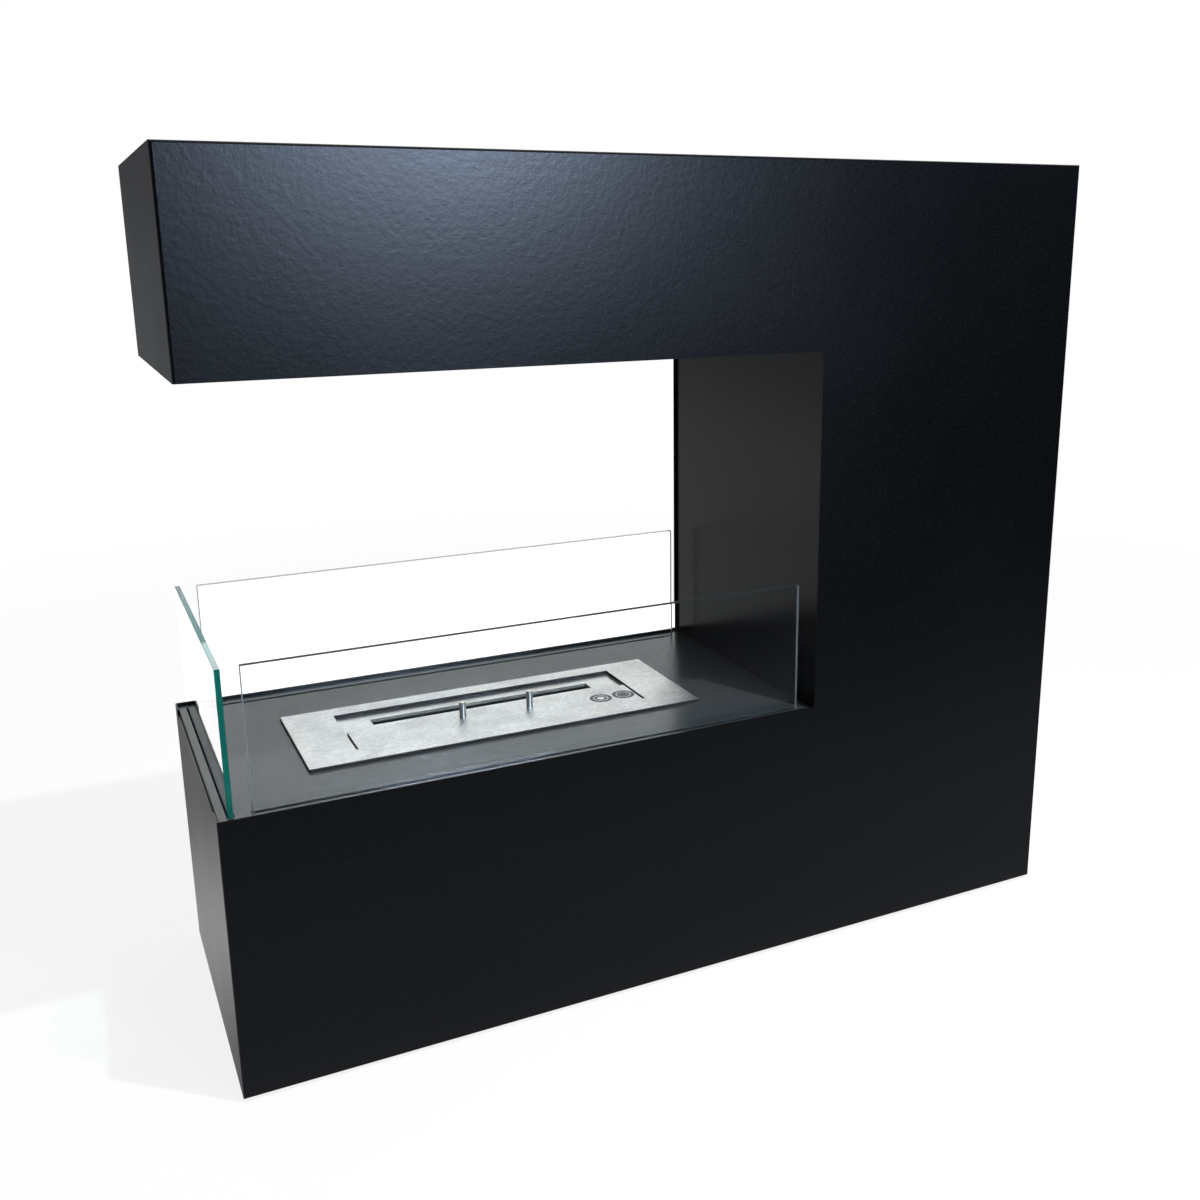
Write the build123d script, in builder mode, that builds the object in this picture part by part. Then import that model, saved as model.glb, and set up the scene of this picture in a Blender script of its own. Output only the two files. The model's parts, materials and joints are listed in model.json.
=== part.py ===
from build123d import *
import os

# Free-standing bioethanol fireplace: a base box, a column at the right and a canopy that
# reaches back over the base, so the fire is open at the front, the back and the left end.
# Millimetres. X runs along the front to the right, Y from the front face to the back and
# Z upwards. The origin lies on the floor, under the middle of the body.

os.makedirs("parts", exist_ok=True)

# ---------------------------------------------------------------- driving dimensions
# Body
body_width = 900
body_depth = 315
body_height = 805
base_height = 266
canopy_height = 177
column_width = 310

# Sheet metal
sheet = 1.5  # every painted panel
bend_radius = 2.5  # outside radius of the folds round the two faces
return_depth = 22  # how far each face panel turns in round the outside
seam_gap = 0.4  # between a face panel's return and the cover beside it
lap_width = 14  # how far a cover runs under the returns
lap_root = 8  # how much of each lap lies under its own cover
lap_end_gap = 4  # laps stop this short of the covers' ends
groove_depth = 3  # top of the base's end cover below the hearth
groove_gap = 0.5  # between that cover and the hearth's left end
reveal = 3  # fire-side panels lie this far back from the face panels' edges
edge_gap = 0.8  # between a fire-side panel and the face panels
turn_depth = 20  # down-turned edges of the fire-side panels
turn_radius = 1  # outside radius of those edges

# Feet and floor fixings
foot_height = 3
foot_radius = 19
foot_inset_x = 45
foot_inset_y = 48
foot_chamfer = 1
foot_stem_radius = 4
foot_stem_play = 0.1
foot_barb_radius = 5.5
foot_barb_height = 4
foot_barb_taper = 2.5
screw_radius = 2.5
screw_play = 0.25
screw_head_radius = 4.5
screw_head_height = 1.8
screw_socket_width = 3
screw_socket_depth = 1.2
screw_length = 10
screw_columns = 4
screw_end_inset = 90
nut_width = 8
nut_height = 4
nut_play = 0.05

# Glass
glass_thickness = 5
glass_rise = 132  # above the hearth
long_glass_start = 31  # from the left end of the body
long_glass_end_gap = 14  # between a long pane and the column
front_glass_inset = 14.5  # middle of the front pane from the front face
rear_glass_inset = 18.5  # middle of the rear pane from the rear face
side_glass_end_gap = 12  # between the side pane and each outer face
side_glass_inset = 13
glass_edge = 0.6  # polished chamfer
slot_play = 1  # round each pane in its slot
channel_sheet = 1.5
channel_depth = 20
seat_play = 0.3  # between a pane and its seat
seat_base = 2
seat_drop = 2  # the seats stay this far under the hearth plate

# Burner
flange_length = 405
flange_width = 148
flange_sheet = 2
flange_setback = 77  # front edge of the flange from the front face
burner_offset = -1.5  # middle of the burner from the middle of the fire opening
flange_corner = 1.5
flange_edge = 1  # rounding of the flange's top edges
flange_overhang = 2  # past the cradle's rim
end_band = 50  # of the flange, beside its window
front_band = 28.5
back_band = 21
recess = 4  # deck below the flange's top
deck_sheet = 1.5
window_edge = 0.5  # rounding of the flange's window
lip_depth = 3.5  # of the fire slot's turned-down rim, from the deck's top
lip_bend = 2.5  # its outer rounding
slot_end_gap = 34  # between the fire slot and the window's ends
slot_width = 13
slot_setback = 25  # middle of the fire slot from the window's back edge
cradle_sheet = 1
cradle_rim = 8
cradle_depth = 72
cutout_play = 1
tank_sheet = 1.2
tank_play = 4  # round the tank inside the cradle
tank_depth = 60
block_end_gap = 12.8  # between the fibre block and the tank
block_side_gap = 10.8
block_height = 40
block_corner = 3

# Sliding lid
lid_width = 48
lid_play = 0.8  # before and behind the lid at the ends of its travel
lid_end_gap = 2.5  # between the lid's ends and the window
lid_recess = 0.5
lid_sheet = 1.2
lid_lift = 0.4  # running gap above the deck
pin_radius = 3.4
pin_height = 17
pin_spacing = 72
pin_setback = 33  # from the lid's front edge
pin_chamfer = 0.4
spigot_radius = 2

# Stiffeners inside the body
rib_tab = 15
rib_play = 0.5
canopy_rib_inset = 80  # from the ends of the fire opening
base_rib_lift = 2  # above the floor screws
column_rib_offset = 24  # column ribs from the hearth and the soffit
shield_sheet = 1
shield_gap = 12
shield_play = 6  # between the heat shield and the canopy ribs
shield_side_gap = 38.7  # between the heat shield and the soffit's turned edges

# ---------------------------------------------------------------- levels and faces
left = -body_width / 2
right = body_width / 2
front = -body_depth / 2
back = body_depth / 2
body_bottom = foot_height
body_top = body_bottom + body_height
base_top = body_bottom + base_height
canopy_bottom = body_top - canopy_height
column_face = right - column_width
hearth_level = base_top - reveal
soffit_level = canopy_bottom + reveal
column_level = column_face + reveal

# Clear length and depth left for the fire-side panels
plate_left = left + 2 * sheet + edge_gap
plate_right = column_level - edge_gap
plate_length = plate_right - plate_left
plate_middle = (plate_left + plate_right) / 2
hearth_left = left + sheet + groove_gap
hearth_length = plate_right - hearth_left
hearth_middle = (hearth_left + plate_right) / 2
plate_depth = body_depth - 2 * sheet - 2 * edge_gap

cover_width = body_depth - 2 * return_depth - 2 * seam_gap
screw_row = cover_width + lap_width
screw_spacing = (body_width - 2 * screw_end_inset) / (screw_columns - 1)

burner_x = (left + column_face) / 2 + burner_offset
flange_front = front + flange_setback
burner_y = flange_front + flange_width / 2
flange_bottom = hearth_level + cradle_sheet
flange_top = flange_bottom + flange_sheet
window_length = flange_length - 2 * end_band
window_width = flange_width - front_band - back_band
window_front = flange_front + front_band
window_back = window_front + window_width
window_y = (window_front + window_back) / 2
deck_top = flange_top - recess
cutout_length = flange_length - 2 * (cradle_rim + flange_overhang)
cutout_width = flange_width - 2 * (cradle_rim + flange_overhang)


# ---------------------------------------------------------------- face panels
def on_outline(edge, tolerance=0.01):
    """True for an edge of a face that lies on the body's outer rectangle."""
    middle = edge.center()
    at_end = min(abs(middle.X - left), abs(middle.X - right)) < tolerance
    at_level = min(abs(middle.Z - body_bottom), abs(middle.Z - body_top)) < tolerance
    return at_end or at_level


# The front face is one C-shaped sheet. It turns in round the outside; the edges round the
# fire stay flat and stand proud of the panels inside them.
with BuildPart() as front_panel:
    with BuildSketch(Plane.XZ.offset(-front)):
        with Locations((0, (body_bottom + body_top) / 2)):
            Rectangle(body_width, body_height)
        with Locations((left, base_top)):
            Rectangle(
                column_face - left,
                canopy_bottom - base_top,
                align=(Align.MIN, Align.MIN),
                mode=Mode.SUBTRACT,
            )
    extrude(amount=-return_depth)
    fillet(front_panel.faces().sort_by(Axis.Y)[0].edges().filter_by(on_outline), bend_radius)
    with BuildSketch(Plane.XZ.offset(-front - sheet)):
        with Locations((0, (body_bottom + body_top) / 2)):
            Rectangle(body_width - 2 * sheet, body_height - 2 * sheet)
    extrude(amount=-return_depth, mode=Mode.SUBTRACT)
    with BuildSketch(Plane.XY.offset(body_bottom)):
        with Locations((0, -screw_row / 2)):
            with GridLocations(screw_spacing, 0, screw_columns, 1):
                Circle(screw_radius + screw_play)
    extrude(amount=sheet, mode=Mode.SUBTRACT)
front_panel.part.label = "front_panel"
export_step(front_panel.part, "parts/front_panel.step")

with BuildPart() as rear_panel:
    mirror(front_panel.part, about=Plane.XZ)
rear_panel.part.label = "rear_panel"
export_step(rear_panel.part, "parts/rear_panel.step")

# ---------------------------------------------------------------- outer covers
lap_middle = cover_width / 2 + (lap_width - lap_root) / 2


def lapped_cover(outside, length, lap_cut=0):
    """A flat cover flush with the returns on both sides, with a lap under each of them.

    The plane lies on the cover's outer face, its X along the cover, its Z outwards. Towards
    that X the laps stop short by lap_cut more.
    """
    with BuildPart() as cover:
        with BuildSketch(outside):
            Rectangle(length, cover_width)
        extrude(amount=-sheet)
        with BuildSketch(outside.offset(-sheet)):
            with Locations((-lap_cut / 2, -lap_middle), (-lap_cut / 2, lap_middle)):
                Rectangle(length - 2 * lap_end_gap - lap_cut, lap_width + lap_root)
        extrude(amount=-sheet)
    return cover.part


def end_plane(x, low, high, outwards):
    """A plane on an end face, its X upwards and its origin at the face's middle."""
    return Plane(origin=(x, 0, (low + high) / 2), x_dir=(0, 0, 1), z_dir=(outwards, 0, 0))


between_ends = body_width - 2 * sheet - 2 * seam_gap

top_panel = lapped_cover(Plane.XY.offset(body_top), between_ends)
top_panel.label = "top_panel"
export_step(top_panel, "parts/top_panel.step")

canopy_end_panel = lapped_cover(
    end_plane(left, canopy_bottom, body_top, -1), body_top - canopy_bottom
)
canopy_end_panel.label = "canopy_end_panel"
export_step(canopy_end_panel, "parts/canopy_end_panel.step")

# The base's end cover stops short of the hearth plate and leaves a dark groove beside it. Its
# laps end below the plate's turned edge.
base_end_top = hearth_level - groove_depth
base_end_panel = lapped_cover(
    end_plane(left, body_bottom, base_end_top, -1),
    base_end_top - body_bottom,
    turn_depth - groove_depth,
)
base_end_panel.label = "base_end_panel"
export_step(base_end_panel, "parts/base_end_panel.step")

column_end_panel = lapped_cover(end_plane(right, body_bottom, body_top, 1), body_height)
column_end_panel.label = "column_end_panel"
export_step(column_end_panel, "parts/column_end_panel.step")

# The floor of the body is the same kind of cover, turned over. Its laps take the screws
# and its corners the feet.
foot_spacing_x = body_width - 2 * foot_inset_x
foot_spacing_y = body_depth - 2 * foot_inset_y
underside = Plane(origin=(0, 0, body_bottom), x_dir=(1, 0, 0), z_dir=(0, 0, -1))

with BuildPart() as base_plate:
    add(lapped_cover(underside, between_ends))
    with BuildSketch(Plane.XY.offset(body_bottom)):
        with GridLocations(screw_spacing, screw_row, screw_columns, 2):
            Circle(screw_radius + screw_play)
        with GridLocations(foot_spacing_x, foot_spacing_y, 2, 2):
            Circle(foot_stem_radius + foot_stem_play)
    extrude(amount=2 * sheet, mode=Mode.SUBTRACT)
base_plate.part.label = "base_plate"
export_step(base_plate.part, "parts/base_plate.step")

# ---------------------------------------------------------------- feet, screws and nuts
# Each rubber foot is pushed up through the base plate and held by its barb.
foot_places = {
    "foot_front_left": (-1, -1),
    "foot_front_right": (1, -1),
    "foot_back_left": (-1, 1),
    "foot_back_right": (1, 1),
}
barb_bottom = body_bottom + sheet
for foot_name, (side_x, side_y) in foot_places.items():
    foot_x = side_x * foot_spacing_x / 2
    foot_y = side_y * foot_spacing_y / 2
    foot_plane = Plane(origin=(foot_x, foot_y, 0), x_dir=(1, 0, 0), z_dir=(0, -1, 0))
    with BuildPart() as foot:
        with BuildSketch(foot_plane):
            with BuildLine():
                Polyline(
                    (0, 0),
                    (foot_radius - foot_chamfer, 0),
                    (foot_radius, foot_chamfer),
                    (foot_radius, foot_height),
                    (foot_stem_radius, foot_height),
                    (foot_stem_radius, barb_bottom),
                    (foot_barb_radius, barb_bottom),
                    (foot_barb_radius - foot_barb_taper, barb_bottom + foot_barb_height),
                    (0, barb_bottom + foot_barb_height),
                    close=True,
                )
            make_face()
        revolve(axis=Axis(foot_plane.origin, (0, 0, 1)))
    foot.part.label = foot_name
    export_step(foot.part, f"parts/{foot_name}.step")

with BuildPart() as base_screws:
    with BuildSketch(Plane.XY.offset(body_bottom)):
        with GridLocations(screw_spacing, screw_row, screw_columns, 2):
            Circle(screw_head_radius)
    extrude(amount=-screw_head_height)
    with BuildSketch(Plane.XY.offset(body_bottom)):
        with GridLocations(screw_spacing, screw_row, screw_columns, 2):
            Circle(screw_radius)
    extrude(amount=screw_length)
    with BuildSketch(Plane.XY.offset(body_bottom - screw_head_height)):
        with GridLocations(screw_spacing, screw_row, screw_columns, 2):
            RegularPolygon(screw_socket_width / 2, 6, major_radius=False)
    extrude(amount=screw_socket_depth, mode=Mode.SUBTRACT)
base_screws.part.label = "base_screws"
export_step(base_screws.part, "parts/base_screws.step")

with BuildPart() as base_nuts:
    with BuildSketch(Plane.XY.offset(body_bottom + 2 * sheet)):
        with GridLocations(screw_spacing, screw_row, screw_columns, 2):
            RegularPolygon(nut_width / 2, 6, major_radius=False)
            Circle(screw_radius + nut_play, mode=Mode.SUBTRACT)
    extrude(amount=nut_height)
base_nuts.part.label = "base_nuts"
export_step(base_nuts.part, "parts/base_nuts.step")

# ---------------------------------------------------------------- fire-side panels
long_glass_length = column_face - long_glass_end_gap - left - long_glass_start
side_glass_length = body_depth - 2 * side_glass_end_gap
front_slot_y = front + front_glass_inset
back_slot_y = back - rear_glass_inset
long_slot_x = left + long_glass_start + long_glass_length / 2
side_slot_x = left + side_glass_inset
glass_slot = glass_thickness + 2 * slot_play
long_slot = long_glass_length + 2 * slot_play
side_slot = side_glass_length + 2 * slot_play

# The hearth is a shallow pan upside down, cut for the burner and the three panes.
with BuildPart() as hearth_plate:
    with BuildSketch(Plane.XY.offset(hearth_level)):
        with Locations((hearth_middle, 0)):
            Rectangle(hearth_length, plate_depth)
    extrude(amount=-turn_depth)
    fillet(hearth_plate.faces().sort_by(Axis.Z)[-1].edges(), turn_radius)
    with BuildSketch(Plane.XY.offset(hearth_level - sheet)):
        with Locations((hearth_middle, 0)):
            Rectangle(hearth_length - 2 * sheet, plate_depth - 2 * sheet)
    extrude(amount=-turn_depth, mode=Mode.SUBTRACT)
    with BuildSketch(Plane.XY.offset(hearth_level)):
        with Locations((burner_x, burner_y)):
            Rectangle(cutout_length, cutout_width)
        with Locations((long_slot_x, front_slot_y), (long_slot_x, back_slot_y)):
            Rectangle(long_slot, glass_slot)
        with Locations((side_slot_x, 0)):
            Rectangle(glass_slot, side_slot)
    extrude(amount=-sheet, mode=Mode.SUBTRACT)
hearth_plate.part.label = "hearth_plate"
export_step(hearth_plate.part, "parts/hearth_plate.step")

# The soffit closes the canopy from below, its edges turned up.
with BuildPart() as canopy_soffit:
    with BuildSketch(Plane.XY.offset(soffit_level)):
        with Locations((plate_middle, 0)):
            Rectangle(plate_length, plate_depth)
    extrude(amount=turn_depth)
    fillet(canopy_soffit.faces().sort_by(Axis.Z)[0].edges(), turn_radius)
    with BuildSketch(Plane.XY.offset(soffit_level + sheet)):
        with Locations((plate_middle, 0)):
            Rectangle(plate_length - 2 * sheet, plate_depth - 2 * sheet)
    extrude(amount=turn_depth, mode=Mode.SUBTRACT)
canopy_soffit.part.label = "canopy_soffit"
export_step(canopy_soffit.part, "parts/canopy_soffit.step")

# The column's fire side runs past the hearth and the soffit, its long edges turned back.
column_panel_bottom = hearth_level - turn_depth
column_panel_top = soffit_level + turn_depth
column_side = Plane.YZ.offset(column_level)
with BuildPart() as column_inner_panel:
    with BuildSketch(column_side):
        with Locations((0, (column_panel_bottom + column_panel_top) / 2)):
            Rectangle(plate_depth, column_panel_top - column_panel_bottom)
    extrude(amount=turn_depth)
    folds = column_inner_panel.faces().sort_by(Axis.X)[0].edges().filter_by(Axis.Z)
    fillet(folds, turn_radius)
    with BuildSketch(column_side.offset(sheet)):
        with Locations((0, (column_panel_bottom + column_panel_top) / 2)):
            Rectangle(plate_depth - 2 * sheet, column_panel_top - column_panel_bottom)
    extrude(amount=turn_depth, mode=Mode.SUBTRACT)
column_inner_panel.part.label = "column_inner_panel"
export_step(column_inner_panel.part, "parts/column_inner_panel.step")

# ---------------------------------------------------------------- stiffeners
# Each rib is a folded sheet between the two faces, with a tab against each of them.
rib_depth = body_depth - 2 * sheet
notch_depth = edge_gap + sheet + rib_play
deeper_inset = max(front_glass_inset, rear_glass_inset)
channel_reach = deeper_inset + glass_slot / 2 + channel_sheet - sheet + rib_play


def upright_rib(x, low, high, tabs_to, notch_plane, notch, notch_height):
    """A rib across the body at x, its tabs turned to -X or +X, notched at two corners."""
    with BuildPart() as rib:
        with BuildSketch(Plane.XY.offset(low)):
            with Locations((x, 0)):
                Rectangle(sheet, rib_depth)
            with Locations((x + tabs_to * (rib_tab - sheet) / 2, 0)):
                with GridLocations(0, rib_depth - sheet, 1, 2):
                    Rectangle(rib_tab, sheet)
        extrude(amount=high - low)
        with BuildSketch(notch_plane):
            with Locations((x, 0)):
                with GridLocations(0, rib_depth - notch, 1, 2):
                    Rectangle(2 * rib_tab + sheet, notch)
        extrude(amount=notch_height, mode=Mode.SUBTRACT)
    return rib.part


canopy_rib_low = soffit_level + sheet
canopy_rib_high = body_top - 2 * sheet
canopy_rib_places = {
    "canopy_rib_left": (left + canopy_rib_inset, -1),
    "canopy_rib_right": (column_face - canopy_rib_inset, 1),
}
for rib_name, (rib_x, tabs_to) in canopy_rib_places.items():
    canopy_rib = upright_rib(
        rib_x,
        canopy_rib_low,
        canopy_rib_high,
        tabs_to,
        Plane.XY.offset(canopy_rib_low),
        notch_depth,
        turn_depth + rib_play - sheet,
    )
    canopy_rib.label = rib_name
    export_step(canopy_rib, f"parts/{rib_name}.step")

# The base ribs stand midway between the cradle and what is on each side of it, clear above
# the floor screws. At the top they are notched for the hearth's turned edges and channels.
base_rib_low = body_bottom + screw_length + base_rib_lift
base_rib_high = hearth_level - sheet
side_channel_edge = side_slot_x + glass_slot / 2 + channel_sheet
cutout_left = burner_x - cutout_length / 2
cutout_right = burner_x + cutout_length / 2
base_rib_places = {
    "base_rib_left": ((side_channel_edge + cutout_left) / 2, -1),
    "base_rib_right": ((cutout_right + column_level) / 2, 1),
}
for rib_name, (rib_x, tabs_to) in base_rib_places.items():
    base_rib = upright_rib(
        rib_x,
        base_rib_low,
        base_rib_high,
        tabs_to,
        Plane.XY.offset(base_rib_high - channel_depth - rib_play),
        channel_reach,
        channel_depth + rib_play,
    )
    base_rib.label = rib_name
    export_step(base_rib, f"parts/{rib_name}.step")

# The column ribs are level shelves with their tabs turned down, notched round the turned
# edges of the column's fire side.
shelf_left = column_level + sheet
shelf_right = right - 2 * sheet
shelf_places = {
    "column_rib_lower": hearth_level + column_rib_offset,
    "column_rib_upper": soffit_level - column_rib_offset,
}
for shelf_name, shelf_level in shelf_places.items():
    with BuildPart() as shelf:
        with BuildSketch(Plane.YZ.offset(shelf_left)):
            with Locations((0, shelf_level - sheet / 2)):
                Rectangle(rib_depth, sheet)
            with Locations((0, shelf_level - rib_tab / 2)):
                with GridLocations(rib_depth - sheet, 0, 2, 1):
                    Rectangle(sheet, rib_tab)
        extrude(amount=shelf_right - shelf_left)
        with BuildSketch(Plane.YZ.offset(shelf_left)):
            with Locations((0, shelf_level - rib_tab / 2)):
                with GridLocations(rib_depth - notch_depth, 0, 2, 1):
                    Rectangle(notch_depth, rib_tab)
        extrude(amount=turn_depth - sheet + rib_play, mode=Mode.SUBTRACT)
    shelf.part.label = shelf_name
    export_step(shelf.part, f"parts/{shelf_name}.step")

# A heat shield stands on the soffit above the burner, between the canopy ribs.
shield_length = column_face - left - 2 * canopy_rib_inset - sheet - 2 * shield_play
shield_width = plate_depth - 2 * sheet - 2 * shield_side_gap
shield_x = (left + column_face) / 2
with BuildPart() as canopy_heat_shield:
    with BuildSketch(Plane.XY.offset(soffit_level + sheet)):
        with Locations((shield_x, 0)):
            Rectangle(shield_length, shield_width)
    extrude(amount=shield_gap + shield_sheet)
    with BuildSketch(Plane.XY.offset(soffit_level + sheet)):
        with Locations((shield_x, 0)):
            Rectangle(shield_length, shield_width - 2 * shield_sheet)
    extrude(amount=shield_gap, mode=Mode.SUBTRACT)
canopy_heat_shield.part.label = "canopy_heat_shield"
export_step(canopy_heat_shield.part, "parts/canopy_heat_shield.step")

# ---------------------------------------------------------------- glass and its channels
# Each pane stands in a folded trough under the hearth, on a soft seat.
channel_top = hearth_level - sheet
channel_floor = channel_top - channel_depth + channel_sheet
seat_wall = slot_play - seat_play
seat_height = channel_depth - channel_sheet - seat_drop
glass_bottom = channel_floor + seat_base + seat_play
glass_top = hearth_level + glass_rise

pane_places = {
    "front_glass": (long_slot_x, front_slot_y, 0, long_glass_length),
    "rear_glass": (long_slot_x, back_slot_y, 0, long_glass_length),
    "side_glass": (side_slot_x, 0, 90, side_glass_length),
}
for pane_name, (pane_x, pane_y, turn, pane_length) in pane_places.items():
    foot_line = Plane(origin=(pane_x, pane_y, 0)).rotated((0, 0, turn))
    trough_length = pane_length + 2 * slot_play

    with BuildPart() as pane:
        with BuildSketch(foot_line.offset(glass_bottom)):
            Rectangle(pane_length, glass_thickness)
        extrude(amount=glass_top - glass_bottom)
        chamfer(pane.edges(), glass_edge)
    pane.part.label = pane_name
    export_step(pane.part, f"parts/{pane_name}.step")

    with BuildPart() as channel:
        with BuildSketch(foot_line.offset(channel_top)):
            Rectangle(trough_length + 2 * channel_sheet, glass_slot + 2 * channel_sheet)
        extrude(amount=-channel_depth)
        with BuildSketch(foot_line.offset(channel_top)):
            Rectangle(trough_length, glass_slot)
        extrude(amount=channel_sheet - channel_depth, mode=Mode.SUBTRACT)
    channel.part.label = f"{pane_name}_channel"
    export_step(channel.part, f"parts/{pane_name}_channel.step")

    with BuildPart() as seat:
        with BuildSketch(foot_line.offset(channel_floor)):
            Rectangle(trough_length, glass_slot)
        extrude(amount=seat_height)
        with BuildSketch(foot_line.offset(channel_floor + seat_base)):
            Rectangle(trough_length, glass_slot - 2 * seat_wall)
        extrude(amount=seat_height, mode=Mode.SUBTRACT)
    seat.part.label = f"{pane_name}_seat"
    export_step(seat.part, f"parts/{pane_name}_seat.step")

# ---------------------------------------------------------------- burner
cradle_length = cutout_length - 2 * cutout_play
cradle_width = cutout_width - 2 * cutout_play

# The cradle hangs in the hearth's cut-out by its rim and catches spilt fuel.
with BuildPart() as burner_cradle:
    with BuildSketch(Plane.XY.offset(flange_bottom)):
        with Locations((burner_x, burner_y)):
            Rectangle(cutout_length + 2 * cradle_rim, cutout_width + 2 * cradle_rim)
    extrude(amount=-cradle_sheet)
    with BuildSketch(Plane.XY.offset(flange_bottom)):
        with Locations((burner_x, burner_y)):
            Rectangle(cradle_length, cradle_width)
    extrude(amount=-cradle_depth)
    with BuildSketch(Plane.XY.offset(flange_bottom)):
        with Locations((burner_x, burner_y)):
            Rectangle(cradle_length - 2 * cradle_sheet, cradle_width - 2 * cradle_sheet)
    extrude(amount=cradle_sheet - cradle_depth, mode=Mode.SUBTRACT)
burner_cradle.part.label = "burner_cradle"
export_step(burner_cradle.part, "parts/burner_cradle.step")

with BuildPart() as burner_flange:
    with BuildSketch(Plane.XY.offset(flange_bottom)):
        with Locations((burner_x, burner_y)):
            RectangleRounded(flange_length, flange_width, flange_corner)
        with Locations((burner_x, window_y)):
            Rectangle(window_length, window_width, mode=Mode.SUBTRACT)
    extrude(amount=flange_sheet)
    flange_face = burner_flange.faces().sort_by(Axis.Z)[-1]
    fillet(flange_face.outer_wire().edges(), flange_edge)
    flange_face = burner_flange.faces().sort_by(Axis.Z)[-1]
    fillet(flange_face.inner_wires()[0].edges(), window_edge)
burner_flange.part.label = "burner_flange"
export_step(burner_flange.part, "parts/burner_flange.step")

tank_length = cradle_length - 2 * cradle_sheet - 2 * tank_play
tank_width = cradle_width - 2 * cradle_sheet - 2 * tank_play
with BuildPart() as burner_tank:
    with BuildSketch(Plane.XY.offset(flange_bottom)):
        with Locations((burner_x, burner_y)):
            Rectangle(tank_length, tank_width)
    extrude(amount=-tank_depth)
    with BuildSketch(Plane.XY.offset(flange_bottom)):
        with Locations((burner_x, burner_y)):
            Rectangle(tank_length - 2 * tank_sheet, tank_width - 2 * tank_sheet)
    extrude(amount=tank_sheet - tank_depth, mode=Mode.SUBTRACT)
burner_tank.part.label = "burner_tank"
export_step(burner_tank.part, "parts/burner_tank.step")

# The deck is a shallow pan under the flange's window. Its fire slot, in the back half, has a
# rim turned down all round.
slot_y = window_back - slot_setback
slot_length = window_length - 2 * slot_end_gap
with BuildPart() as burner_deck:
    with BuildSketch(Plane.XY.offset(deck_top - deck_sheet)):
        with Locations((burner_x, window_y)):
            Rectangle(window_length + 2 * deck_sheet, window_width + 2 * deck_sheet)
    extrude(amount=flange_bottom - deck_top + deck_sheet)
    with BuildSketch(Plane.XY.offset(deck_top)):
        with Locations((burner_x, window_y)):
            Rectangle(window_length, window_width)
    extrude(amount=flange_bottom - deck_top, mode=Mode.SUBTRACT)
    with BuildSketch(Plane.XY.offset(deck_top - lip_depth)):
        with Locations((burner_x, slot_y)):
            Rectangle(slot_length + 2 * deck_sheet, slot_width + 2 * deck_sheet)
    extrude(amount=lip_depth - deck_sheet)
    with BuildSketch(Plane.XY.offset(deck_top - lip_depth)):
        with Locations((burner_x, slot_y)):
            Rectangle(slot_length, slot_width)
    extrude(amount=lip_depth, mode=Mode.SUBTRACT)
    deck_face = burner_deck.faces().filter_by(Axis.Z).sort_by(Axis.Z, reverse=True)[1]
    fillet(deck_face.inner_wires()[0].edges(), lip_bend)
burner_deck.part.label = "burner_deck"
export_step(burner_deck.part, "parts/burner_deck.step")

block_length = tank_length - 2 * (tank_sheet + block_end_gap)
block_width = tank_width - 2 * (tank_sheet + block_side_gap)
with BuildPart() as fibre_block:
    with BuildSketch(Plane.XY.offset(flange_bottom - tank_depth + tank_sheet)):
        with Locations((burner_x, burner_y)):
            RectangleRounded(block_length, block_width, block_corner)
    extrude(amount=block_height)
fibre_block.part.label = "fibre_block"
export_step(fibre_block.part, "parts/fibre_block.step")

# ---------------------------------------------------------------- sliding lid
# The lid is a pan upside down that runs over the deck between the window's ends.
lid_top = flange_top - lid_recess
lid_bottom = deck_top + lid_lift
lid_length = window_length - 2 * lid_end_gap
lid_front = window_front + lid_play
lid_y = lid_front + lid_width / 2
pin_y = lid_front + pin_setback
with BuildPart() as slide_lid:
    with BuildSketch(Plane.XY.offset(lid_bottom)):
        with Locations((burner_x, lid_y)):
            Rectangle(lid_length, lid_width)
    extrude(amount=lid_top - lid_bottom)
    with BuildSketch(Plane.XY.offset(lid_bottom)):
        with Locations((burner_x, lid_y)):
            Rectangle(lid_length - 2 * lid_sheet, lid_width - 2 * lid_sheet)
    extrude(amount=lid_top - lid_sheet - lid_bottom, mode=Mode.SUBTRACT)
    with BuildSketch(Plane.XY.offset(lid_top)):
        with Locations((burner_x, pin_y)):
            with GridLocations(pin_spacing, 0, 2, 1):
                Circle(spigot_radius)
    extrude(amount=-lid_sheet, mode=Mode.SUBTRACT)
slide_lid.part.label = "slide_lid"
export_step(slide_lid.part, "parts/slide_lid.step")

for pin_name, side in {"lid_pin_left": -1, "lid_pin_right": 1}.items():
    pin_plane = Plane(origin=(burner_x + side * pin_spacing / 2, pin_y, lid_top))
    with BuildPart() as pin:
        with BuildSketch(pin_plane):
            Circle(pin_radius)
        extrude(amount=pin_height)
        chamfer(pin.faces().sort_by(Axis.Z)[-1].edges(), pin_chamfer)
        with BuildSketch(pin_plane):
            Circle(spigot_radius)
        extrude(amount=-lid_sheet)
    pin.part.label = pin_name
    export_step(pin.part, f"parts/{pin_name}.step")

print("lid travel", round(window_width - lid_width - 2 * lid_play, 3))
print("glass from", glass_bottom, "to", glass_top)
print("hearth", hearth_level, "flange top", flange_top, "deck", deck_top)
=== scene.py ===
import json
from math import radians

import bpy
import numpy as np
from mathutils import Matrix, Vector


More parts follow.
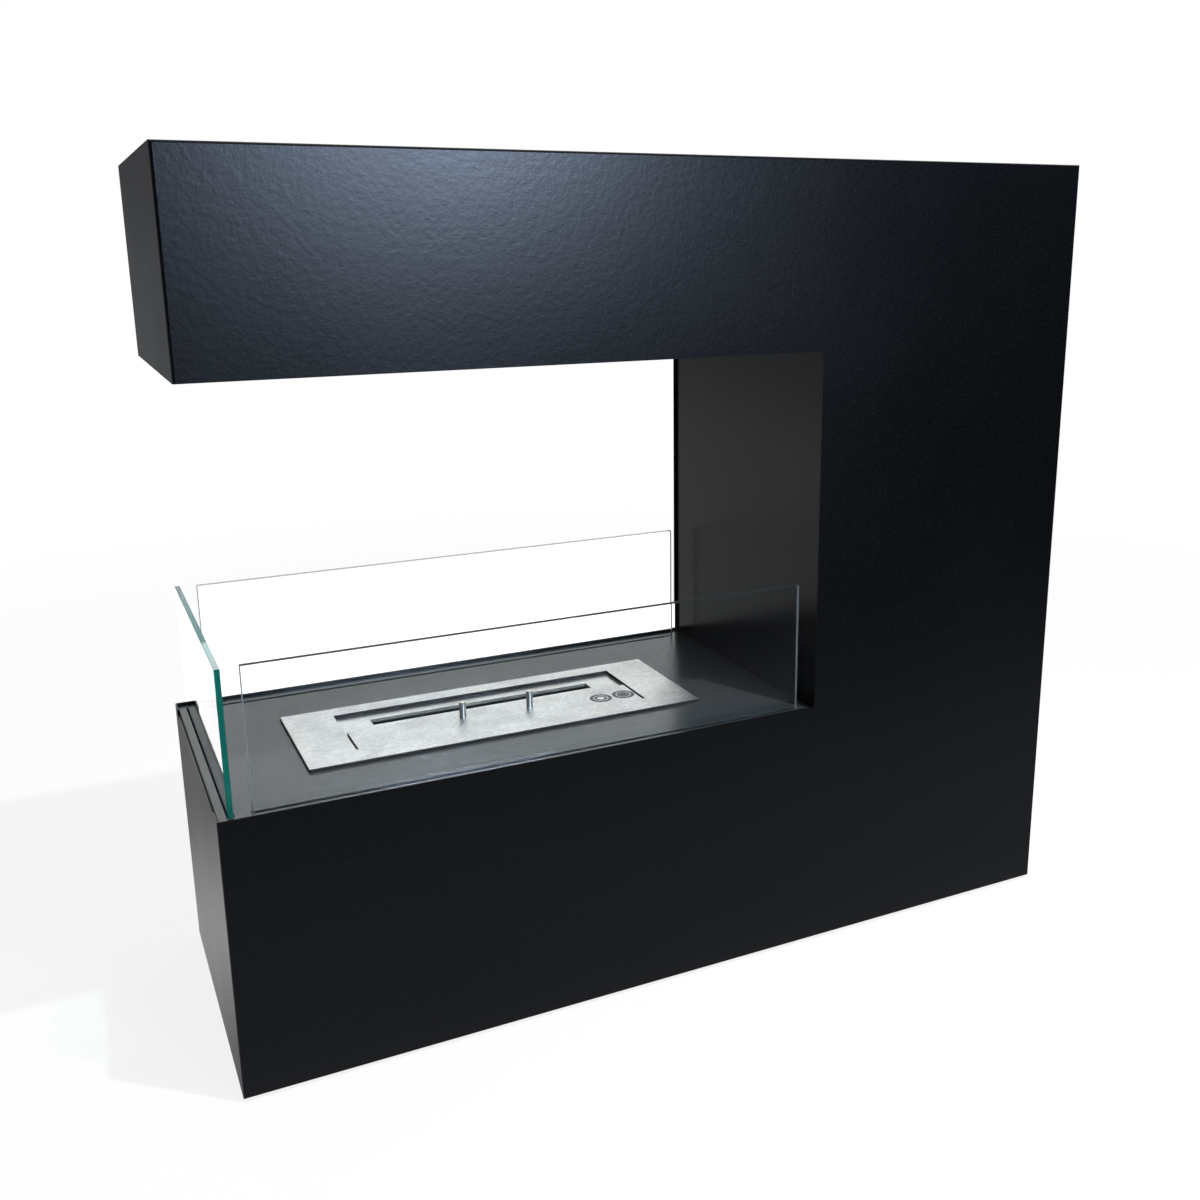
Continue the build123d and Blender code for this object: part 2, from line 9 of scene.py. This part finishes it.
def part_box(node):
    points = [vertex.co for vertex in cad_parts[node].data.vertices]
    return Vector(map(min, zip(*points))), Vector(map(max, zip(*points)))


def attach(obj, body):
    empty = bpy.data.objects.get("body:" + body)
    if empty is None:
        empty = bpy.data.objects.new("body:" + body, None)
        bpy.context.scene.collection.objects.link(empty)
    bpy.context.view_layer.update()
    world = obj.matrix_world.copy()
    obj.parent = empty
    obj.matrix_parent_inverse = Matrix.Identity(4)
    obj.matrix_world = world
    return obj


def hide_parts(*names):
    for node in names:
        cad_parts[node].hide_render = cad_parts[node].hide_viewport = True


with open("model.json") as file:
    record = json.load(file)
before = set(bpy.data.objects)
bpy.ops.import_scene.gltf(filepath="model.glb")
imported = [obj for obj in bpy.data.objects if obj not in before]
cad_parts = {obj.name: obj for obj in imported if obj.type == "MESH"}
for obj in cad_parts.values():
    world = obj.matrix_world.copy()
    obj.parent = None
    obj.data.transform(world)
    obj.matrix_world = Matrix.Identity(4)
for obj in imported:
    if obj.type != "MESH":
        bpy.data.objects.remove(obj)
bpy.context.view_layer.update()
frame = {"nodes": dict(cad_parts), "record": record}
nodes = frame["nodes"]
MM = 0.001


# ---------------------------------------------------------------- shader arithmetic
class Wire:
    """A shader socket that takes part in Python arithmetic: each operation adds a Math node."""

    def __init__(self, tree, socket):
        self.tree = tree
        self.socket = socket

    def _with(self, operation, *values):
        node = self.tree.nodes.new("ShaderNodeMath")
        node.operation = operation
        for socket, value in zip(node.inputs, values):
            plug(self.tree, socket, value)
        return Wire(self.tree, node.outputs[0])

    def __add__(self, other):
        return self._with("ADD", self, other)

    def __radd__(self, other):
        return self._with("ADD", other, self)

    def __sub__(self, other):
        return self._with("SUBTRACT", self, other)

    def __rsub__(self, other):
        return self._with("SUBTRACT", other, self)

    def __mul__(self, other):
        return self._with("MULTIPLY", self, other)

    def __rmul__(self, other):
        return self._with("MULTIPLY", other, self)

    def __pow__(self, other):
        return self._with("POWER", self, other)

    def __abs__(self):
        return self._with("ABSOLUTE", self)

    def __or__(self, other):
        """The larger of the two: where either mask shows."""
        return self._with("MAXIMUM", self, other)


def plug(tree, socket, value):
    """Links a wire to a socket, or sets a plain value on it."""
    if isinstance(value, Wire):
        tree.links.new(value.socket, socket)
    elif hasattr(value, "__len__") and len(value) == 3 and len(socket.default_value) == 4:
        socket.default_value = (*value, 1)
    else:
        socket.default_value = value


class Finish:
    """A node tree of a material or the world, with its nodes added one call at a time."""

    # Sockets of a Mix node in colour mode, which share their names with its other modes
    MIX_FACTOR, MIX_FIRST, MIX_SECOND, MIX_RESULT = 0, 6, 7, 2
    # A face counts as facing an axis between these parts of its normal along it
    TURNED_AWAY, FACING = 0.75, 0.95

    def __init__(self, owner, ending="OutputMaterial"):
        owner.use_nodes = True
        self.owner = owner
        self.tree = owner.node_tree
        self.tree.nodes.clear()
        self.end = self.tree.nodes.new("ShaderNode" + ending)

    def add(self, kind, settings=None, sockets=None, out=0):
        """Adds a node: its settings first, then its sockets' values or links."""
        node = self.tree.nodes.new("ShaderNode" + kind)
        for name, value in (settings or {}).items():
            setattr(node, name, value)
        for name, value in (sockets or {}).items():
            plug(self.tree, node.inputs[name], value)
        return Wire(self.tree, node.outputs[out])

    def place(self, scale=(1, 1, 1)):
        """Object coordinates in metres, scaled."""
        here = self.add("TexCoord", out="Object")
        return self.add("Mapping", {}, {"Vector": here, "Scale": scale})

    def along(self, axis, source="Object"):
        """One coordinate of the surface: X, Y or Z of its place, or of its normal."""
        return self.add("SeparateXYZ", {}, {"Vector": self.add("TexCoord", out=source)}, out=axis)

    def facing(self, axis):
        """1 where the surface faces along the axis, either way, and 0 where it turns away."""
        return self.spread(abs(self.along(axis, "Normal")), self.TURNED_AWAY, self.FACING)

    def noise(self, scale, detail=2, roughness=0.5, where=None):
        sockets = {"Scale": scale, "Detail": detail, "Roughness": roughness}
        sockets["Vector"] = where or self.place()
        return self.add("TexNoise", {}, sockets)

    def spread(self, value, low, high, to_low=0.0, to_high=1.0):
        """Value from low..high to to_low..to_high, clamped and smooth."""
        ends = {"From Min": low, "From Max": high, "To Min": to_low, "To Max": to_high}
        smooth = {"interpolation_type": "SMOOTHSTEP"}
        return self.add("MapRange", smooth, {"Value": value, **ends})

    def blend(self, factor, first, second):
        """Colour blend of first and second."""
        return self.add(
            "Mix",
            {"data_type": "RGBA", "clamp_factor": True},
            {self.MIX_FACTOR: factor, self.MIX_FIRST: first, self.MIX_SECOND: second},
            out=self.MIX_RESULT,
        )

    def bump(self, height, strength, distance, normal=None):
        sockets = {"Height": height, "Strength": strength, "Distance": distance}
        if normal:
            sockets["Normal"] = normal
        return self.add("Bump", {}, sockets)

    def principled(self, **sockets):
        """The Principled shader; names take spaces for underscores."""
        named = {name.replace("_", " "): value for name, value in sockets.items()}
        return self.add("BsdfPrincipled", {}, named)

    def either(self, factor, first, second):
        """The first shader where factor is 0, and the second where it is 1."""
        return self.add("MixShader", {}, {0: factor, 1: first, 2: second})

    def ray(self, name):
        """What the Light Path node says of the ray that sees the surface."""
        return self.add("LightPath", out=name)

    def output(self, shader, socket="Surface"):
        self.tree.links.new(shader.socket, self.end.inputs[socket])


def new_finish(name):
    return Finish(bpy.data.materials.new(name))


# ---------------------------------------------------------------- finishes
def powder_coat(name, deep, pale, smooth, rough, peel_strength, speckle=0.012):
    """Satin black powder coat: a fleck about 2 mm across over a fine grain, both in its colour,
    gloss and relief, and slow waves in the gloss."""
    coat = new_finish(name)
    slow = coat.noise(scale=5, detail=3)
    peel = coat.noise(scale=200, detail=4, roughness=0.55)
    fleck = coat.noise(scale=420, detail=3, roughness=0.7)
    grain = coat.noise(scale=1100, detail=2, roughness=0.6)
    gloss = coat.spread(slow, 0.3, 0.7, smooth, rough)
    surface = coat.principled(
        Base_Color=coat.blend(coat.spread(fleck, 0.35, 0.65), deep, pale),
        Roughness=gloss + coat.spread(fleck, 0.32, 0.68, -speckle, speckle),
        Normal=coat.bump(peel, peel_strength, 0.4 * MM, coat.bump(grain, 0.15, 0.1 * MM)),
    )
    coat.output(surface)
    return coat.owner


def zinc_sheet():
    """Galvanised sheet: pale spangle cells in slightly different greys."""
    zinc = new_finish("zinc_sheet")
    cells = zinc.add("TexVoronoi", {}, {"Vector": zinc.place(), "Scale": 90}, out="Color")
    shade = zinc.add("SeparateColor", {}, {"Color": cells})
    surface = zinc.principled(
        Base_Color=zinc.blend(shade, (0.50, 0.52, 0.53), (0.66, 0.68, 0.69)),
        Metallic=0.9,
        Roughness=zinc.spread(shade, 0, 1, 0.34, 0.52),
    )
    zinc.output(surface)
    return zinc.owner


def brushed(name, pale, dark, smooth, rough, marks=None, lip=None):
    """Stainless sheet brushed along X: noise drawn out along X tints, roughens and grooves it,
    under broad blotches left by handling and small dull flecks. Its cut edges and folded sides
    are painted dark, as painted shade and a painted dark reflection, and are duller; marks are
    etched into its face, and a lip's sides are painted a lighter, warm grey: less painted shade,
    warmed so the bluish softbox's reflection in them reads neutral."""
    blotch_colour, fleck_colour = (0.66, 0.65, 0.64), (0.52, 0.52, 0.52)
    etched_colour, etched_depth = (0.10, 0.10, 0.105), 0.85
    # Sides painted dark: painted shade and a painted dark reflection. The lip's sides painted a
    # lighter, warm grey: less painted shade, warmed against the bluish softbox
    side_shade_colour, lip_shade_colour = (0.045, 0.042, 0.040), (0.22, 0.20, 0.17)
    duller = 0.2  # roughness of etched marks and sides above the face's
    steel = new_finish(name)
    hair = steel.noise(scale=6, detail=4, roughness=0.65, where=steel.place(scale=(9, 780, 780)))
    band = steel.noise(scale=1, detail=3, roughness=0.6, where=steel.place(scale=(25, 300, 300)))
    fleck = steel.noise(scale=1, detail=3, roughness=0.7, where=steel.place(scale=(220, 600, 600)))
    blotch = steel.noise(scale=28, detail=3, roughness=0.6)
    colour = steel.blend(steel.spread(band, 0.3, 0.7), dark, pale)
    colour = steel.blend(steel.spread(blotch, 0.40, 0.66, 0, 0.45), colour, blotch_colour)
    colour = steel.blend(steel.spread(fleck, 0.40, 0.58, 0.5, 0), colour, fleck_colour)
    roughness = steel.spread(band * 0.5 + blotch * 0.5, 0.35, 0.65, smooth, rough)
    if marks:
        etched = marks(steel)
        colour = steel.blend(etched * etched_depth, colour, etched_colour)
        roughness = roughness + etched * duller
    side = 1 - steel.facing("Z")
    # The slot lip's sides take the lighter, warm painted shade instead, so the bluish softbox's
    # reflection in them reads neutral
    if lip:
        side_shade_colour = steel.blend(lip(steel), side_shade_colour, lip_shade_colour)
    surface = steel.principled(
        Base_Color=steel.blend(side, colour, side_shade_colour),
        Metallic=1.0,
        Roughness=roughness + side * duller,
        Normal=steel.bump(hair, 0.9, 0.05 * MM),
    )
    steel.output(surface)
    return steel.owner


def ring_marks(steel):
    """Two plain etched marks side by side at the lid's right end: each a heavy ring round a finer
    one, and a disc in the right-hand one."""
    inner_share, disc_share = 0.55, 0.44  # of the mark's radius
    radius, line = 10 * MM, 2.1 * MM
    left_inset, right_inset = 38.5 * MM, 12.5 * MM  # of the marks' middles from the lid's end
    off_middle = 3 * MM  # of the marks from the lid's middle, towards the front
    low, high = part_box("slide_lid")
    middle_y = (low.y + high.y) / 2 - off_middle
    left_x, right_x = high.x - left_inset, high.x - right_inset
    across, along = steel.along("X"), steel.along("Y")
    total = 0
    for x, has_disc in ((left_x, False), (right_x, True)):
        far = ((across - x) ** 2 + (along - middle_y) ** 2) ** 0.5
        outer = steel.spread(abs(far - radius), line * 0.6, line * 1.2, 1, 0)
        inner = steel.spread(abs(far - radius * inner_share), line * 0.4, line, 1, 0)
        edge = radius * disc_share
        disc = steel.spread(far, edge * 0.8, edge, 1, 0) if has_disc else 0
        total = outer | inner | disc | total
    return total


def slot_lip(steel):
    """Where the deck turns down round the fire slot."""
    end_margin, back_margin = 30 * MM, 26.5 * MM  # deck's ends to the lip, its back to the slot
    low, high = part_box("burner_deck")
    middle_x, middle_y = (low.x + high.x) / 2, high.y - back_margin
    reach_x, reach_y = (high.x - low.x) / 2 - end_margin, 10 * MM
    off_x, off_y = abs(steel.along("X") - middle_x), abs(steel.along("Y") - middle_y)
    near_x = steel.spread(off_x, reach_x, reach_x + MM, 1, 0)
    near_y = steel.spread(off_y, reach_y, reach_y + MM, 1, 0)
    return near_x * near_y


def turned_steel():
    """Turned pins: fine rings round their axes, made from the height alone."""
    steel = new_finish("turned_steel")
    rings = steel.noise(scale=1, detail=2, where=steel.place(scale=(0.001, 0.001, 6000)))
    surface = steel.principled(
        # The warm tint is painted against the bluish softbox, so its reflection in the pins reads
        # neutral
        Base_Color=steel.blend(rings, (0.74, 0.69, 0.61), (0.90, 0.86, 0.78)),
        Metallic=1.0,
        Roughness=steel.spread(rings, 0.3, 0.7, 0.24, 0.34),
        Normal=steel.bump(rings, 0.1, 0.05 * MM),
    )
    steel.output(surface)
    return steel.owner


def soft_rubber(name, colour):
    """Matt moulded rubber with a little dust in its grain."""
    dust_brightness = 1.9  # of the rubber's own colour
    rubber = new_finish(name)
    grain = rubber.noise(scale=1500, detail=2)
    dust = rubber.noise(scale=70, detail=4, roughness=0.7)
    dusty = tuple(part * dust_brightness for part in colour)
    surface = rubber.principled(
        Base_Color=rubber.blend(rubber.spread(dust, 0.45, 0.75, 0, 0.6), colour, dusty),
        Roughness=rubber.spread(dust, 0.3, 0.7, 0.62, 0.78),
        Normal=rubber.bump(grain, 0.25, 0.1 * MM),
    )
    rubber.output(surface)
    return rubber.owner


def zinc_plate():
    """Zinc-plated screws and nuts, a little yellowed in places."""
    clean, yellowed = (0.56, 0.57, 0.58), (0.62, 0.57, 0.46)
    plate = new_finish("zinc_plate")
    stain = plate.noise(scale=300, detail=3)
    surface = plate.principled(
        Base_Color=plate.blend(plate.spread(stain, 0.4, 0.7), clean, yellowed),
        Metallic=1.0,
        Roughness=plate.spread(stain, 0.3, 0.7, 0.26, 0.42),
    )
    plate.output(surface)
    return plate.owner


def ceramic_wool():
    """Needled ceramic wool: off-white, with fine fibres lying every way."""
    wool = new_finish("ceramic_wool")
    tuft = wool.noise(scale=420, detail=5, roughness=0.7)
    patch = wool.noise(scale=60, detail=2)
    surface = wool.principled(
        Base_Color=wool.blend(patch, (0.80, 0.78, 0.72), (0.92, 0.91, 0.88)),
        Roughness=0.95,
        Normal=wool.bump(tuft, 0.9, 1.5 * MM),
    )
    wool.output(surface)
    return wool.owner


def float_glass(name, density, face, end_colour, end_alpha, top_colour, top_alpha):
    """Clear float glass, green only where light runs a long way inside it. Its narrow edges are
    ground: a matt film, half open to what is behind, with one colour on the upright edges and
    another along the top; a strong green film colour is painted light, for light run along the
    pane and out at its edge. Lamps shine through the glass."""
    wiped, smeared = (1.0, 1.0, 1.0), (0.985, 0.99, 0.985)
    left_by_lamps, left_by_depth = (0.88, 0.90, 0.89), (0.09, 0.864, 0.773)
    upright, sloped = 0.3, 0.6  # the normal's part along Z, on the end edges and past them
    glass = new_finish(name)
    smear = glass.noise(scale=8, detail=3, roughness=0.6)
    clear = glass.principled(
        Base_Color=glass.blend(smear, wiped, smeared),
        Roughness=0.0,
        IOR=1.52,
        Transmission_Weight=1.0,
    )
    ends = glass.spread(abs(glass.along("Z", "Normal")), upright, sloped, 1, 0)
    film = glass.blend(ends, top_colour, end_colour)
    pits = glass.spread(glass.noise(scale=2500), 0.3, 0.7, 0, 0.3)
    ground = glass.principled(
        Base_Color=glass.blend(pits, film, (0, 0, 0)),
        Roughness=0.5,
        Specular_IOR_Level=0.1,
        Alpha=top_alpha + ends * (end_alpha - top_alpha),
    )
    solid = glass.either(1 - glass.facing(face), clear, ground)
    open_to_lamps = glass.add("BsdfTransparent", {}, {"Color": left_by_lamps})
    glass.output(glass.either(glass.ray("Is Shadow Ray"), solid, open_to_lamps))
    tint = glass.add("VolumeAbsorption", {}, {"Color": left_by_depth, "Density": density})
    glass.output(tint, "Volume")
    return glass.owner


finishes = {
    "black_steel": powder_coat(
        "powder_black",
        deep=(0.0003, 0.0004, 0.0006),
        pale=(0.0018, 0.0022, 0.0028),
        smooth=0.31,
        rough=0.35,
        peel_strength=0.33,
    ),
    "zinc_steel": zinc_sheet(),
    "brushed_stainless": brushed(
        "brushed_stainless",
        pale=(0.97, 0.96, 0.95),
        dark=(0.86, 0.85, 0.85),
        smooth=0.30,
        rough=0.44,
    ),
    "turned_stainless": turned_steel(),
    "tank_steel": brushed(
        "tank_steel", pale=(0.60, 0.60, 0.59), dark=(0.48, 0.48, 0.47), smooth=0.30, rough=0.44
    ),
    "clear_glass": float_glass(
        "float_glass",
        density=4,
        face="Y",
        end_colour=(0.46, 0.51, 0.52),
        end_alpha=0.85,
        top_colour=(0.03, 0.04, 0.04),
        top_alpha=0.6,
    ),
    "seat_strip": soft_rubber("seat_silicone", (0.016, 0.016, 0.016)),
    "rubber": soft_rubber("foot_rubber", (0.022, 0.022, 0.021)),
    "fixings": zinc_plate(),
    "ceramic_fibre": ceramic_wool(),
}
# Nodes whose finish differs from the rest of their slot
smooth_coat = powder_coat(
    "powder_smooth",
    deep=(0.0020, 0.0022, 0.0024),
    pale=(0.0055, 0.0058, 0.0061),
    smooth=0.22,
    rough=0.26,
    peel_strength=0.06,
    speckle=0.02,
)
own_finishes = {
    "column_inner_panel": smooth_coat,
    "canopy_soffit": smooth_coat,
    # The hearth's coat is the body's black powder coat painted a lighter grey: painted light, so
    # the ceiling lamp's patch shows on it
    "hearth_plate": powder_coat(
        "powder_hearth_painted_light",
        deep=(0.028, 0.031, 0.032),
        pale=(0.034, 0.037, 0.039),
        smooth=0.22,
        rough=0.26,
        peel_strength=0.03,
        speckle=0.004,
    ),
    "side_glass": float_glass(
        "float_glass_side",
        density=9,
        face="X",
        # The upright edges' teal film: painted light, for light run along the pane and out at its
        # front edge
        end_colour=(0.006, 0.27, 0.20),
        end_alpha=0.45,
        top_colour=(0.62, 0.72, 0.70),
        top_alpha=0.8,
    ),
    "slide_lid": brushed(
        "etched_lid",
        pale=(0.99, 0.98, 0.97),
        dark=(0.90, 0.89, 0.89),
        smooth=0.34,
        rough=0.46,
        marks=ring_marks,
    ),
    "burner_deck": brushed(
        "deck_steel",
        pale=(0.99, 0.99, 0.98),
        dark=(0.92, 0.91, 0.90),
        smooth=0.28,
        rough=0.38,
        lip=slot_lip,
    ),
}
for part in frame["record"]["subparts"]:
    name = part["node"]
    coats = nodes[name].data.materials
    coats.clear()
    coats.append(own_finishes.get(name, finishes[part["material_slot"]]))


# ---------------------------------------------------------------- the ceramic-fibre block
def new_piece(name, rings, finish):
    """A closed, smooth mesh through rings of points, an array (ring, point, xyz). Quads join each
    ring to the next, and a fan round the ring's mean closes either end."""
    count, around = rings.shape[:2]
    points = np.concatenate([rings.reshape(-1, 3), rings[[0, -1]].mean(axis=1)])
    first_pole, last_pole = count * around, count * around + 1
    step = np.arange(around)
    after = (step + 1) % around
    first = around * np.arange(count - 1)[:, None]
    second = first + around
    quads = np.stack([first + step, first + after, second + after, second + step], axis=-1)
    last = (count - 1) * around
    first_fan = np.stack([np.full(around, first_pole), after, step], axis=-1)
    last_fan = np.stack([np.full(around, last_pole), last + step, last + after], axis=-1)
    faces = [*quads.reshape(-1, 4).tolist(), *first_fan.tolist(), *last_fan.tolist()]
    mesh = bpy.data.meshes.new(name)
    mesh.from_pydata(points.tolist(), [], faces)
    mesh.shade_smooth()
    mesh.materials.append(finish)
    piece = bpy.data.objects.new(name, mesh)
    bpy.context.collection.objects.link(piece)
    return piece


def cut_wool_rings(low, high, count, around):
    """Rings of a block cut from needled wool, between two corners. Along the block,
    x = sin(u) and the ring's size = cos(u), both to the power 2 / end_square; round a ring,
    y = cos(v) and z = sin(v), both to the power 2 / side_square: two superellipses, so the faces
    are nearly flat and every edge is worn round. The sides and the top then sink by up to sag
    of their half size, in long waves of x and v; the underside stays flat on the tank."""
    end_square, side_square, sag = 22, 9, 0.035
    last_angle = radians(89.9)  # of the end rings, just short of the poles
    waves = ((0.2, 9, 0, 1), (0.15, 23, 3, 0), (0.15, 14, 4, 0))  # height, along x, along v, phase
    middle, half = (np.array(low) + high) / 2, (np.array(high) - low) / 2

    def squared(wave, square):
        return np.sign(wave) * np.abs(wave) ** (2 / square)

    u = np.linspace(-last_angle, last_angle, count)[:, None]
    v = np.linspace(0, 2 * np.pi, around, endpoint=False)[None, :]
    x = squared(np.sin(u), end_square) + 0 * v
    size = squared(np.cos(u), end_square)
    y, z = squared(np.cos(v), side_square), squared(np.sin(v), side_square)
    swell = 0.5
    for height, along_x, along_v, phase in waves:
        swell = swell + height * np.sin(along_x * x + along_v * v + phase)
    sunk = 1 - sag * swell * (1 + np.sin(v)) / 2
    return middle + half * np.stack([x, size * y * sunk, size * z * sunk], axis=-1)


block_low, block_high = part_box("fibre_block")
wool_block = new_piece(
    "wool_block",
    cut_wool_rings(block_low, block_high, count=120, around=64),
    finishes["ceramic_fibre"],
)
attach(wool_block, "burner")
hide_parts("fibre_block")


# ---------------------------------------------------------------- camera
camera_place = (-0.54216, -1.16367, 0.72725)
camera_heading = 25.847  # degrees to the right of +Y
camera_drop = 14.074  # degrees below the horizon
camera_roll = -0.498
camera_data = bpy.data.cameras.new("camera")
camera_data.sensor_width = 36
camera_data.lens = 37.228
camera_data.shift_x, camera_data.shift_y = (-0.03589, -0.03275)
camera_data.clip_start = 0.01
camera = bpy.data.objects.new("camera", camera_data)
camera.matrix_world = (
    Matrix.Translation(camera_place)
    @ Matrix.Rotation(radians(-camera_heading), 4, "Z")
    @ Matrix.Rotation(radians(90 - camera_drop), 4, "X")
    @ Matrix.Rotation(radians(camera_roll), 4, "Z")
)
bpy.context.collection.objects.link(camera)
bpy.context.scene.camera = camera


# ---------------------------------------------------------------- floor, surroundings, light
# Colours that the object's gloss sees on the floor, from the front to the back, and one patch far
# to the left, which the column's fire-side panel mirrors
floor_front_far = (0.020, 0.021, 0.024)
floor_front_near = (0.22, 0.23, 0.25)
floor_back_near = (0.95, 0.95, 0.95)
floor_back_middle = (0.36, 0.36, 0.37)
floor_back_far = (0.20, 0.21, 0.22)
floor_left_far = (0.44, 0.44, 0.44)
# The stretches over which they change: along Y, and along X for the patch's left and right sides
floor_front_fade = (-1.3, -0.3)
floor_turn = (-0.25, 0.25)
floor_back_fade = (0.10, 0.55)
floor_far_fade = (1.8, 4.0)
patch_left_fade, patch_right_fade = (-2.6, -1.7), (-1.5, -0.9)
patch_near_fade, patch_far_fade = (1.0, 1.8), (4.5, 6.0)
floor_half_width = 30
floor_white = (0.9, 0.9, 0.9)  # of the paint that takes the shadow
floor_glow = 0.85  # share of the white round the object that takes no shadow
floor_glow_fade = (0.8, 2.5)  # from the object's middle, until all of it takes none
# The room's colours: in front, low and high behind, overhead, and behind on the left
room_front = (0.020, 0.022, 0.027)
room_back_low = (0.25, 0.26, 0.27)
room_back_high = (1.30, 1.33, 1.33)
room_top = (0.6, 0.6, 0.6)
room_left = (0.06, 0.06, 0.065)
# The stretches over which they change, as the direction's part along Y, Z or X
room_turn = (-0.1, 0.5)
room_back_rise = (0.05, 0.40)
room_top_rise = (0.75, 0.95)
room_left_rise, room_left_end = (-0.1, 0.1), (-0.25, 0.0)
glass_white = (1.50, 1.46, 1.46)  # the background through the panes, which take a little light
# Where a pane's mirror image turns to that white: along the floor, and as a direction's part
floor_mirror_turn, room_mirror_turn = (-0.3, 0.3), (0.0, 0.4)


def straight_through(tree):
    """1 for a camera ray that has only passed through glass."""
    bounces = tree.ray("Glossy Depth") + tree.ray("Diffuse Depth")
    return (1 - bounces | 0) * tree.ray("Is Transmission Ray")


def sharp_reflection(tree):
    """1 for a ray just mirrored by glass."""
    return tree.ray("Is Reflection Ray") * tree.ray("Is Singular Ray")


def make_floor():
    """A wide pale floor: white to the camera, with a soft shadow near the object. Gloss sees it
    pale round the object and dim farther off."""
    half = floor_half_width
    mesh = bpy.data.meshes.new("floor")
    mesh.from_pydata(
        [(-half, -half, 0), (half, -half, 0), (half, half, 0), (-half, half, 0)], [], [(0, 1, 2, 3)]
    )
    floor = bpy.data.objects.new("floor", mesh)
    bpy.context.collection.objects.link(floor)
    paint = new_finish("floor")
    across, depth = paint.along("X"), paint.along("Y")
    ahead = paint.blend(paint.spread(depth, *floor_front_fade), floor_front_far, floor_front_near)
    beyond = paint.blend(paint.spread(depth, *floor_back_fade), floor_back_near, floor_back_middle)
    beyond = paint.blend(paint.spread(depth, *floor_far_fade), beyond, floor_back_far)
    aside = paint.spread(across, *patch_left_fade) * paint.spread(across, *patch_right_fade, 1, 0)
    aside = aside * paint.spread(depth, *patch_near_fade)
    aside = aside * paint.spread(depth, *patch_far_fade, 1, 0)
    beyond = paint.blend(aside, beyond, floor_left_far)
    room = paint.blend(paint.spread(depth, *floor_turn), ahead, beyond)
    seen, straight = paint.ray("Is Camera Ray"), straight_through(paint)
    behind_glass = paint.spread(depth, *floor_mirror_turn) * sharp_reflection(paint) | straight
    colour = paint.blend(seen, room, (1, 1, 1))
    colour = paint.blend(behind_glass, colour, glass_white)
    glow = paint.add("Emission", {}, {"Color": colour, "Strength": 1.0})
    lit = paint.add("BsdfDiffuse", {}, {"Color": floor_white})
    far = paint.add("VectorMath", {"operation": "LENGTH"}, {0: paint.place()}, out="Value")
    glowing = (seen | straight) * paint.spread(far, *floor_glow_fade, floor_glow, 1.0)
    glowing = glowing | paint.ray("Is Glossy Ray") | (paint.ray("Is Transmission Ray") - straight)
    paint.output(paint.either(glowing, lit, glow))
    mesh.materials.append(paint.owner)


def make_world():
    """White to the camera and through glass. What lights the object and shows in its gloss is a
    room that is dim in front and on the left, bright above and behind, and dimmer again at the
    far horizon."""
    world = bpy.data.worlds.new("studio")
    bpy.context.scene.world = world
    world.cycles.sampling_method = "NONE"
    sky = Finish(world, "OutputWorld")
    across, ahead, up = (sky.along(axis, "Generated") for axis in "XYZ")
    behind = sky.blend(sky.spread(up, *room_back_rise), room_back_low, room_back_high)
    aside = sky.spread(across, *room_left_end, 1, 0) * sky.spread(up, *room_left_rise)
    behind = sky.blend(aside, behind, room_left)
    room = sky.blend(sky.spread(ahead, *room_turn), room_front, behind)
    room = sky.blend(sky.spread(up, *room_top_rise), room, room_top)
    mirrored = sky.spread(ahead, *room_mirror_turn) * sharp_reflection(sky)
    behind_glass = mirrored | straight_through(sky)
    colour = sky.blend(sky.ray("Is Camera Ray"), room, (1, 1, 1))
    colour = sky.blend(behind_glass, colour, glass_white)
    sky.output(sky.add("Background", {}, {"Color": colour, "Strength": 1.0}))


def soft_light(name, place, aim, width, height, power, colour=(1, 1, 1), glossy=True):
    """A rectangular softbox at place, turned to aim. Its light passes the panes as shadow rays
    do, so it isn't met again behind them."""
    data = bpy.data.lights.new(name, "AREA")
    data.shape = "RECTANGLE"
    data.size, data.size_y = width, height
    data.energy = power
    data.color = colour
    lamp = bpy.data.objects.new(name, data)
    bpy.context.collection.objects.link(lamp)
    lamp.visible_glossy = glossy
    lamp.visible_transmission = False
    lamp.location = place
    lamp.rotation_euler = (Vector(aim) - Vector(place)).to_track_quat("-Z", "Y").to_euler()


make_floor()
make_world()
soft_light(
    "front_softbox",
    place=(0.39, -2.2, 1.21),
    aim=(-0.1, 0, 0.7),
    width=0.5,
    height=0.2,
    power=31,
    colour=(0.60, 0.74, 1.0),
)
soft_light(
    "ceiling_softbox",
    place=(0.4865, -0.9435, 2.655),
    aim=(0.0, -0.1, 0.27),
    width=0.05,
    height=0.05,
    power=65,
    glossy=False,
)
bpy.context.scene.view_settings.view_transform = "Standard"
